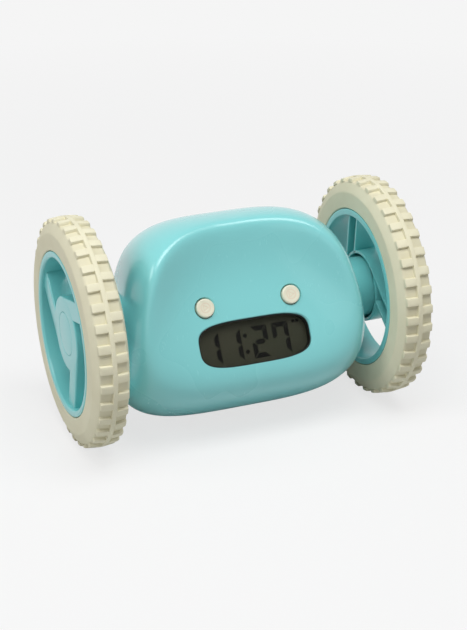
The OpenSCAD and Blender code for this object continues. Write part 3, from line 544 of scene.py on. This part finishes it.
def flat_shapes(name, shapes, low, high):
    """Thin printed shapes, each a closed plate, in one mesh."""
    points, faces = [], []
    for outline in shapes:
        count, base = len(outline), len(points)
        points += [(x, v, n) for n in (low, high) for x, v in outline]
        faces += [[base + k for k in range(count)], [base + count + k for k in range(count)]]
        faces += [(base + k, base + (k + 1) % count, base + count + (k + 1) % count,
                   base + count + k) for k in range(count)]
    return piece(name, to_world(points), faces)


shapes = [bar for k in range(4) for bar in segment_bars(figures[k], figure_right[k] - digit_w / 2)]
shapes += [circle((colon_x, figure_v + v), colon_r, 20) for v in (digit_h / 4, -digit_h / 4)]
shapes += [[(a, flag_v), (a + flag_w, flag_v), (a + flag_w, flag_v - flag_h), (a, flag_v - flag_h)]
           for a in flag_left]
ink = Finish("segment_ink", Specular_IOR_Level=0.1)
blot = ink.noise(900.0)
segment_ink = ink.paint(Base_Color=ink.mix(blot, tone(4, 4, 4), tone(9, 9, 8)),
                        Roughness=0.5 + 0.1 * blot)
dress(flat_shapes("display_figures", shapes, glass_front, glass_front + ink_t), "housing",
      segment_ink, "black_segments", "display_digits")

# --- Eye buttons --------------------------------------------------------------------------------
# Two ivory snooze buttons, round caps with a rounded rim and a shallow dish, that slide in the face
# against tact switches; a faint pad-printed ring and arrow stand in the dish.
eye_out, eye_flange_n = 1.2, 19.6
flange_w, flange_t, rim_round, stem_r, stem_l = 0.8, 0.8, 0.45, 1.5, 1.6
mark_ring_r, mark_arrow_r = 1.8, 0.62


def turned(name, profile, place, count):
    """A closed solid from rings of a profile [(radius, height)], whose radius may end at 0."""
    ring = np.array(circle((0, 0), 1, count))
    last = len(profile) - 1
    points = [(radius * x, radius * y, n) for radius, n in profile for x, y in ring]
    faces = [(i * count + j, i * count + (j + 1) % count, (i + 1) * count + (j + 1) % count,
              (i + 1) * count + j) for i in range(last) for j in range(count)]
    for k in (0, last):
        if profile[k][0] > 0:
            faces.append(range(k * count, (k + 1) * count))
    return piece(name, place(points), faces, 40, 1e-6)


def button(name, spot, r, top, bearing, way=1):
    """A cap turned about the face's normal: dished crown, rounded rim, shank, flange and stem."""
    flange_r, foot = r + flange_w, bearing - flange_t
    profile = [(0.0, top - 0.12), (r * 0.45, top - 0.1), (r * 0.72, top - 0.03), (r - rim_round, top)]
    profile += [(r - rim_round + rim_round * math.sin(a), top - rim_round + rim_round * math.cos(a))
                for a in (math.pi / 8, math.pi / 4, 3 * math.pi / 8, math.pi / 2)]
    profile += [(r, bearing), (flange_r, bearing), (flange_r, foot), (stem_r, foot),
                (stem_r, foot - stem_l), (0.0, foot - stem_l)]
    return turned(name, profile, lambda p: to_world(
        np.asarray(p) * (1, 1, way) + (spot[0], spot[1], 0)), 56)


def ivory_for(name, spot):
    """Ivory plastic with a faint warm ring and arrowhead printed round a spot of the face."""
    made = Finish(name, Coat_Weight=0.15, Coat_Roughness=0.15)
    x, y, z = made.parts()
    across = (x - spot[0] * MM) / MM
    up = (y * math.sin(tilt) + (z - axle_z * MM) * math.cos(tilt)) / MM - spot[1]
    away = (across * across + up * up).root()
    ring = 1 - (abs(away - mark_ring_r) - 0.12).step(0.0, 0.2)
    edge = (abs(up) * 0.87 + (across + 0.15) * 0.5).most(-0.15 - across)
    arrow = 1 - (abs(edge - mark_arrow_r) - 0.1).step(0.0, 0.16)
    mark = ring.most(arrow)
    soil = made.noise(400.0, 3.0).step(0.4, 0.8)
    shade = made.mix(soil * 0.5, tone(226, 223, 201), tone(214, 209, 186))
    shade = made.mix(mark * 0.4, shade, tone(219, 190, 166))
    return made.paint(Base_Color=shade, Roughness=0.34 + 0.08 * soil,
                      Normal=made.bump(made.noise(900.0, 2.0) * 0.2 - mark, 0.00004))


for side, x in (("left", -eye_x), ("right", eye_x)):
    cap = button(side + "_eye_cap", (x, eye_v), eye_d / 2, face_n + eye_out, eye_flange_n)
    dress(cap, side + "_eye", ivory_for(side + "_eye_ivory", (x, eye_v)), "ivory_plastic",
          side + "_eye_button")

# --- Tyres --------------------------------------------------------------------------------------
# Soft cream rubber rings, stretched over the rim: plain rounded side walls, a narrow ridge round
# the middle of the tread and a staggered row of bar-shaped lugs on each side of it.
tyre_r, wheel_w, mid_x = 44.5, 14.4, 61.3
lug_count, lug_h, lug_share, lug_fall = 36, 1.3, 0.42, 0.55
ridge_w, lug_w = 2.0, 4.4
carcass_r = tyre_r - lug_h
edge_r, wall_r = carcass_r - 0.5, carcass_r - 4.6
bead_r, bead_edge, bead_step, lug_root = 32.1, 0.25, 0.35, 0.6
wall_round, shoulder_round, ridge_round = 2.6, 1.2, 0.3
left_phase, right_phase = 0.5, 0.2  # shares of the lugs' pitch, as the wheels stand in the picture
wheel_in, wheel_out = mid_x - wheel_w / 2, mid_x + wheel_w / 2


def fillet(corners, steps=5):
    """A profile [x, r] whose corners (x, r, radius) are rounded."""
    found = []
    count = len(corners)
    for k, (x, r, size) in enumerate(corners):
        here = np.array([x, r], float)
        back = np.array(corners[k - 1][:2]) - here
        on = np.array(corners[(k + 1) % count][:2]) - here
        if size <= 0:
            found.append(tuple(here))
            continue
        back, on = back / np.linalg.norm(back), on / np.linalg.norm(on)
        half = math.acos(max(-1, min(1, float(back @ on)))) / 2
        run = size / math.tan(half)
        centre = here + (back + on) / np.linalg.norm(back + on) * size / math.sin(half)
        start, end = here + back * run - centre, here + on * run - centre
        sweep = math.atan2(start[0] * end[1] - start[1] * end[0], float(start @ end))
        for j in range(steps + 1):
            a = sweep * j / steps
            found.append((centre[0] + start[0] * math.cos(a) - start[1] * math.sin(a),
                          centre[1] + start[0] * math.sin(a) + start[1] * math.cos(a)))
    return found


def lathe(profile, count=180):
    """Points and faces of a closed profile [x, r] in millimetres, turned about the axle line."""
    points, faces, steps = [], [], len(profile)
    for a in np.linspace(0, 2 * math.pi, count, endpoint=False):
        points += [(x, r * math.cos(a), axle_z + r * math.sin(a)) for x, r in profile]
    for i in range(count):
        for j in range(steps):
            a, b = i * steps, (i + 1) % count * steps
            faces.append((a + j, a + (j + 1) % steps, b + (j + 1) % steps, b + j))
    return points, faces


def lug(x_low, x_high, angle, arc, low_r, high_r, soft=0.28):
    """One lug: a bar with rounded edges, which falls off towards the shoulder with the tread."""
    points, faces = [], []
    levels = [(low_r, -0.12), (high_r - soft, 0.02), (high_r - soft * 0.3, 0.1), (high_r, soft + 0.1)]
    corner, steps = 0.35, 3
    for r, draw in levels:
        half_x, half_t = (x_high - x_low) / 2 - draw, arc / 2 - draw
        for sx, st, start in ((1, 1, 0), (-1, 1, 90), (-1, -1, 180), (1, -1, 270)):
            for k in range(steps):
                a = math.radians(start + 90 * k / (steps - 1))
                x = sx * (half_x - corner) + corner * math.cos(a)
                t = st * (half_t - corner) + corner * math.sin(a)
                turn, along = angle + t / r, (x_low + x_high) / 2 + x
                drop = lug_fall * (abs(along - mid_x) / (ridge_w / 2 + lug_w)) ** 2
                here = r - (drop if r > low_r else 0)
                points.append((along, here * math.cos(turn), axle_z + here * math.sin(turn)))
    ring = 4 * steps
    for i in range(len(levels) - 1):
        faces += [(i * ring + k, i * ring + (k + 1) % ring, (i + 1) * ring + (k + 1) % ring,
                   (i + 1) * ring + k) for k in range(ring)]
    faces += [list(range(ring))[::-1], [3 * ring + k for k in range(ring)]]
    return points, faces


def gathered(name, parts, hand, sharp=32):
    """Several closed shapes in one mesh, drawn for the right-hand side and mirrored for the left."""
    points, faces = [], []
    for some_points, some_faces in parts:
        base = len(points)
        points += some_points
        faces += [[base + k for k in face] for face in some_faces]
    placed = np.array(points, float) * np.array([hand, 1, 1]) * MM
    return piece(name, placed, faces, sharp)


tread = ridge_w / 2 + lug_w
carcass = fillet([
    (wheel_in + bead_edge, bead_r, 0), (wheel_out - bead_edge, bead_r, 0),
    (wheel_out, bead_r + bead_step, 0), (wheel_out, wall_r, wall_round),
    (mid_x + tread - 0.1, edge_r, shoulder_round), (mid_x + ridge_w / 2, carcass_r, 0.25),
    (mid_x + ridge_w / 2 - 0.12, tyre_r, ridge_round),
    (mid_x - ridge_w / 2 + 0.12, tyre_r, ridge_round), (mid_x - ridge_w / 2, carcass_r, 0.25),
    (mid_x - tread + 0.1, edge_r, shoulder_round), (wheel_in, wall_r, wall_round),
    (wheel_in, bead_r + bead_step, 0)])
lug_arc = 2 * math.pi * tyre_r / lug_count * lug_share
lug_step = 2 * math.pi / lug_count


def tyre(phase):
    """The carcass and its two rows of lugs, from a share of the lugs' pitch."""
    parts = [lathe(carcass)]
    inner, low_r, high_r = ridge_w / 2 - 0.3, carcass_r - lug_root, tyre_r - 0.02
    for k in range(lug_count):
        turn = (k + phase) * lug_step
        parts.append(lug(mid_x + inner, mid_x + tread, turn, lug_arc, low_r, high_r))
        parts.append(lug(mid_x - tread, mid_x - inner, turn + lug_step / 2, lug_arc, low_r, high_r))
    return parts


rubber = Finish("cream_rubber", Specular_IOR_Level=0.35)
fine = rubber.noise(1400.0, 3.0, 0.6)
cloudy = rubber.noise(60.0, 3.0)
x, y, z = rubber.parts()
up_z = z - axle_z * MM
from_axle = (y * y + up_z * up_z).root() / MM
# Painted shade: the tread's floor between the lugs is darkened, more where the cloudy noise is high.
groove_shade = (1 - from_axle.step(carcass_r + 0.1, carcass_r + 0.5)) * from_axle.step(edge_r - 0.6, edge_r)
shade = rubber.mix(cloudy.step(0.3, 0.7), tone(227, 223, 196), tone(219, 214, 186))
shade = rubber.mix(groove_shade * (0.1 + 0.3 * cloudy), shade, tone(190, 183, 152))
shade = rubber.mix(fine.step(0.62, 0.8) * 0.2, shade, tone(200, 194, 166))
cream_rubber = rubber.paint(Base_Color=shade, Roughness=0.62 + 0.12 * cloudy - 0.1 * fine,
                            Normal=rubber.bump(fine + 0.6 * cloudy, 0.00004, 0.6))
for side, hand, phase in (("left", -1, left_phase), ("right", 1, right_phase)):
    dress(gathered(side + "_tyre_tread", tyre(phase), hand), side + "_wheel", cream_rubber,
          "cream_rubber", side + "_tyre")

# --- Rims ---------------------------------------------------------------------------------------
# One aqua moulding a wheel: a felly under the tyre, a hub barrel closed by a disc on the outside and
# open to the housing, and three arms, channels that leave the barrel along its tangent.
seat_r, rim_wall, hub_r, arm_wall, arm_w, arm_count = 32.0, 2.7, 14.5, 1.2, 8.0, 3
hub_sink, barrel_short, cap_r, cap_t = 1.7, 2.9, 8.4, 1.1
rim_in_r, barrel_r = seat_r - rim_wall, hub_r - arm_wall
barrel_in, disc_out = wheel_in + barrel_short, wheel_out - hub_sink
cap_x, post_in, post_r, screw_hole_r = disc_out - cap_t, barrel_in + 1.8, 4.5, 1.55
left_turn, right_turn = math.radians(45), math.radians(95)  # of the first arm

felly = fillet([(wheel_in, rim_in_r, 0.5), (wheel_out, rim_in_r, 1.0), (wheel_out, seat_r - 0.15, 0.5),
                (wheel_in, seat_r - 0.15, 0.4)])
hub = fillet([
    (barrel_in, barrel_r, 0.25), (cap_x - arm_wall, barrel_r, 0.4), (cap_x - arm_wall, post_r, 0.3),
    (post_in, post_r, 0.2), (post_in, screw_hole_r, 0.1), (cap_x - 0.02, screw_hole_r, 0),
    (cap_x - 0.02, cap_r, 0), (disc_out - 0.25, cap_r, 0), (disc_out, cap_r + 0.2, 0),
    (disc_out, hub_r, 0.6), (barrel_in, hub_r, 0.25)])


def arm(turn):
    """One arm: a channel with rounded outer edges, from inside the barrel's wall into the felly."""
    high, low = hub_r - arm_wall / 6, hub_r - arm_w
    top, foot, t = disc_out - 0.04, barrel_in, arm_wall
    outline = fillet([(-high, foot, 0.2), (-high, top, 0.7), (-low, top, 0.7), (-low, foot, 0.2),
                      (-low - t, foot, 0.2), (-low - t, top - t, 0.35), (-high + t, top - t, 0.35),
                      (-high + t, foot, 0.2)], 4)
    starts, ends, mid_wall, into_felly = [], [], barrel_r + arm_wall / 3, rim_in_r + rim_wall / 3
    for across, x in outline:
        for r, row in ((mid_wall, starts), (into_felly, ends)):
            along = math.sqrt(max(0.0, r * r - across * across))
            row.append((x, along * math.cos(turn) - across * math.sin(turn),
                        axle_z + along * math.sin(turn) + across * math.cos(turn)))
    count = len(outline)
    faces = [(k, (k + 1) % count, count + (k + 1) % count, count + k) for k in range(count)]
    return starts + ends, faces + [list(range(count)), list(range(count, 2 * count))]


aqua_rim = gloss_plastic("aqua_rim", tone(120, 203, 203), 0.3, 0.35)
for side, hand, turn in (("left", -1, left_turn), ("right", 1, right_turn)):
    arms = [arm(turn + 2 * math.pi * k / arm_count) for k in range(arm_count)]
    rim = gathered(side + "_rim_moulding", [lathe(felly), lathe(hub, 120)] + arms, hand, 35)
    dress(rim, side + "_wheel", aqua_rim, "aqua_rim", side + "_rim")
    plug = fillet([(cap_x + 0.03, 0.01, 0), (disc_out, 0.01, 0), (disc_out, cap_r - 0.07, 0.15),
                   (cap_x + 0.03, cap_r - 0.07, 0)])
    dress(gathered(side + "_hub_plug", [lathe(plug, 96)], hand), side + "_wheel", aqua_rim, "aqua_rim",
          side + "_hub_cap")

# --- Setting buttons ----------------------------------------------------------------------------
# Four small ivory keys in a row across the back, for hour, minute, time and alarm. Their caps are
# plain: the printed mark is placed where it misses them.
key_out, key_flange_gap, far_away = 0.7, 0.45, (100, 0)
for k, key in enumerate(("hour", "minute", "time", "alarm")):
    cap = button(key + "_key_cap", (set_spots[k], set_v), set_d / 2, key_out - back_n,
                 -back_n - wall - key_flange_gap, -1)
    dress(cap, key + "_key", ivory_for(key + "_ivory", far_away), "ivory_plastic", key + "_button")

# --- Screws -------------------------------------------------------------------------------------
# Zinc-plated self-tapping screws with cross recesses: four deep in the back and one in the battery
# cover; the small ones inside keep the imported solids' shapes.
def metal(name, low, high, rough, grain=(40.0, 900.0, 900.0)):
    """Bare or plated metal: drawn or turned grain, handling marks and a little uneven tarnish."""
    made = Finish(name, Metallic=1.0)
    lines = made.noise(1.0, 3.0, 0.6, made.node("Mapping", Vector=made.place, Scale=grain))
    spots = made.noise(320.0, 2.0).step(0.5, 0.8)
    shade = made.mix(0.7 * lines + 0.3 * spots, low, high)
    return made.paint(Base_Color=shade, Roughness=rough + 0.15 * lines + 0.1 * spots,
                      Normal=made.bump(lines, 0.00001))


def screw(name, r, height, shank_r, shank, place):
    """A pan-head screw with a cross recess, drawn with the underside of its head at height 0."""
    profile = [(r * 0.55, height), (r * 0.85, height * 0.75), (r, height * 0.15), (r, 0.0),
               (shank_r, 0.0), (shank_r, 1.5 * shank_r - shank), (shank_r * 0.3, -shank)]
    slots = [prism("recess", [(-a, -b), (a, -b), (a, b), (-a, b)],
                   [(height * 0.4, 0), (height + 1, 0)], place)
             for a, b in ((r * 0.62, r * 0.13), (r * 0.13, r * 0.62))]
    return cut(turned(name, profile, place, 40), slots, sharp=30)


zinc = metal("zinc_plate", tone(150, 153, 158), tone(205, 208, 212), 0.28)
case_set = bmesh.new()
for sx, sv in post_spots:
    one = screw("case_screw", r=2.3, height=1.6, shank_r=1.1, shank=14.0, place=lambda p: to_world(
        np.asarray(p, float) * (1, 1, -1) + (sx, sv, case_head_n)))
    case_set.from_mesh(one.data)
    bpy.data.objects.remove(one)
case_mesh = bpy.data.meshes.new("case_screw_set")
case_set.to_mesh(case_mesh)
case_set.free()
case_mesh.set_sharp_from_angle(angle=math.radians(30))
case_piece = bpy.data.objects.new("case_screw_set", case_mesh)
bpy.context.scene.collection.objects.link(case_piece)
dress(case_piece, "housing", zinc, "steel", "case_screws")
cover_screw = screw("cover_screw_body", r=2.2, height=1.2, shank_r=0.8, shank=6.8, place=lambda p:
                    at_bay(np.asarray(p, float) + (0, cover_screw_t, cover_seat)))
dress(cover_screw, "battery_lid", zinc, "steel", "cover_screw")

# --- What the housing holds ---------------------------------------------------------------------
# Motors, gears, boards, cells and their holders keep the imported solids' shapes and get their own
# finishes: glass-fibre board, moulded plastics, printed cell jackets, turned brass, plated steel.
def moulded(name, low, high, rough, scale=500.0, relief=0.00002):
    """Matt moulded plastic or rubber with a fine tool texture and cloudy colour."""
    made = Finish(name)
    grain = made.noise(scale, 3.0, 0.6)
    cloud = made.noise(40.0, 2.0)
    return made.paint(Base_Color=made.mix(0.5 * grain + 0.5 * cloud, low, high),
                      Roughness=rough + 0.15 * grain, Normal=made.bump(grain, relief))


def board_finish():
    """Green solder mask over copper tracks, with bare pads where the tracks end."""
    made = Finish("board_green", Coat_Weight=0.3, Coat_Roughness=0.2)
    weave = made.noise(900.0, 2.0)
    x, y, z = made.parts()
    track = made.noise(1.0, 0.0, 0.5, made.node("Mapping", Vector=made.place, Scale=(90, 420, 420)))
    line = 1 - (abs(track - 0.5) - 0.02).step(0.0, 0.015)
    shade = made.mix(weave, tone(24, 84, 48), tone(34, 102, 60))
    shade = made.mix(line * 0.6, shade, tone(62, 138, 84))
    return made.paint(Base_Color=shade, Roughness=0.4 + 0.1 * weave, Normal=made.bump(line, 0.00003))


def jacket_finish():
    """A cell's printed film jacket: two bands of colour across its length, with bare metal ends."""
    made = Finish("cell_jacket", Coat_Weight=0.4, Coat_Roughness=0.12)
    x, y, z = made.parts()
    scuff = made.noise(300.0, 3.0).step(0.55, 0.8)
    band = (abs(x + 0.013) - 0.006).step(0.0, 0.0004)
    end = (abs(x) - 0.0215).step(0.0, 0.0003)
    shade = made.mix(band, tone(196, 158, 92), tone(40, 92, 74))
    shade = made.mix(end, shade, tone(188, 190, 194))
    return made.paint(Base_Color=made.mix(scuff * 0.3, shade, tone(160, 160, 150)), Metallic=end,
                      Roughness=0.3 + 0.2 * scuff)


finishes = {
    "aqua_rim": aqua_rim,
    "white_plastic": moulded("white_plastic", tone(214, 212, 200), tone(228, 226, 216), 0.4),
    "board_green": board_finish(),
    "black_plastic": moulded("black_plastic", tone(22, 22, 24), tone(34, 34, 36), 0.45),
    "pink_rubber": moulded("pink_rubber", tone(206, 120, 108), tone(220, 136, 122), 0.6),
    "steel": zinc,
    "brass": metal("brass", tone(176, 140, 70), tone(212, 178, 104), 0.24),
    "can_steel": metal("can_steel", tone(150, 152, 156), tone(186, 188, 192), 0.32),
    "cell_jacket": jacket_finish(),
}
for part in frame["record"]["subparts"]:
    node = frame["nodes"][part["node"]]
    if node.hide_render:
        continue
    node.data.materials.clear()
    node.data.materials.append(finishes[part["material_slot"]])

# --- Studio ------------------------------------------------------------------------------------
# A pale floor, soft lamps above, to the left and in front, a weak one at the right, and a camera at
# the photograph's angle. Floor and backdrop look white to the camera without lighting the object.
def lamp(name, size, power, place, aim):
    light = bpy.data.lights.new(name, "AREA")
    light.shape, light.size, light.size_y, light.energy = "RECTANGLE", size[0], size[1], power
    made = bpy.data.objects.new(name, light)
    made.location = place
    made.rotation_euler = (Vector(aim) - Vector(place)).to_track_quat("-Z", "Y").to_euler()
    bpy.context.scene.collection.objects.link(made)


middle = (0, 0, axle_z * MM)
lamp("overhead", (0.9, 0.5), 8.6, (0.0, -0.3, 1.0), middle)
lamp("upper_left", (0.5, 0.5), 3.2, (-0.85, -0.05, 0.7), middle)
lamp("front_fill", (0.7, 0.5), 0.6, (-0.2, -1.1, 0.4), middle)
lamp("right_fill", (0.5, 0.5), 0.3, (0.95, -0.35, 0.4), middle)

white, floor_grey = tone(245, 245, 245), tone(200, 200, 200)
sky_strength, shadow_share, floor_half = 0.2, 0.22, 4


def seen_directly(tree, mirrored=1.0):
    """1 for rays that show the background itself, of which mirrored ones count for a share."""
    path = tree.nodes.new("ShaderNodeLightPath")
    camera_ray, glossy_ray, through_ray = [Wire(tree, path.outputs["Is %s Ray" % kind])
                                           for kind in ("Camera", "Glossy", "Transmission")]
    return (camera_ray + (glossy_ray + through_ray) * mirrored).clamp()


world = bpy.data.worlds.new("studio")
bpy.context.scene.world = world
world.use_nodes = True
sky = world.node_tree
light, backdrop = sky.nodes["Background"], sky.nodes.new("ShaderNodeBackground")
light.inputs["Color"].default_value = (0.94, 0.95, 0.97, 1)
light.inputs["Strength"].default_value = sky_strength
backdrop.inputs["Color"].default_value = white
backdrop.inputs["Strength"].default_value = 1.0
either = sky.nodes.new("ShaderNodeMixShader")
sky.links.new(seen_directly(sky).socket, either.inputs["Fac"])
sky.links.new(light.outputs[0], either.inputs[1])
sky.links.new(backdrop.outputs[0], either.inputs[2])
sky.links.new(either.outputs[0], sky.nodes["World Output"].inputs["Surface"])

floor_mesh = bpy.data.meshes.new("floor")
floor_mesh.from_pydata([(sx * floor_half, sy * floor_half, 0)
                        for sx, sy in ((-1, -1), (1, -1), (1, 1), (-1, 1))], [], [(0, 1, 2, 3)])
floor = bpy.data.objects.new("floor", floor_mesh)
bpy.context.scene.collection.objects.link(floor)
pale = Finish("floor_paint", Roughness=0.7, Specular_IOR_Level=0.1)
pale.paint(Base_Color=pale.mix(seen_directly(pale.tree), floor_grey, white))
glow = pale.node("Emission", Color=white, Strength=1.0)
across, along, up = pale.parts()
distance = (across * across + along * along).root()
near = 1 - distance.step(0.12, 0.6)
part_glow = pale.node("MixShader", Fac=seen_directly(pale.tree, distance.step(0.05, 0.25))
                      * (1 - near * shadow_share))
mixer = part_glow.socket.node
pale.tree.links.new(pale.shader.outputs[0], mixer.inputs[1])
pale.tree.links.new(glow.socket, mixer.inputs[2])
pale.tree.links.new(part_glow.socket, pale.tree.nodes["Material Output"].inputs["Surface"])
floor_mesh.materials.append(pale.material)

camera_data = bpy.data.cameras.new("camera")
camera_data.lens, camera_data.sensor_width = 90.14, 36
camera = bpy.data.objects.new("camera", camera_data)
bpy.context.scene.collection.objects.link(camera)
camera.location = (-0.21044, -0.52642, 0.29714)
camera.rotation_mode = "QUATERNION"
camera.rotation_quaternion = Vector((0.34078, 0.84523, -0.41165)).to_track_quat("-Z", "Y")
bpy.context.scene.camera = camera
bpy.context.scene.view_settings.view_transform = "Standard"
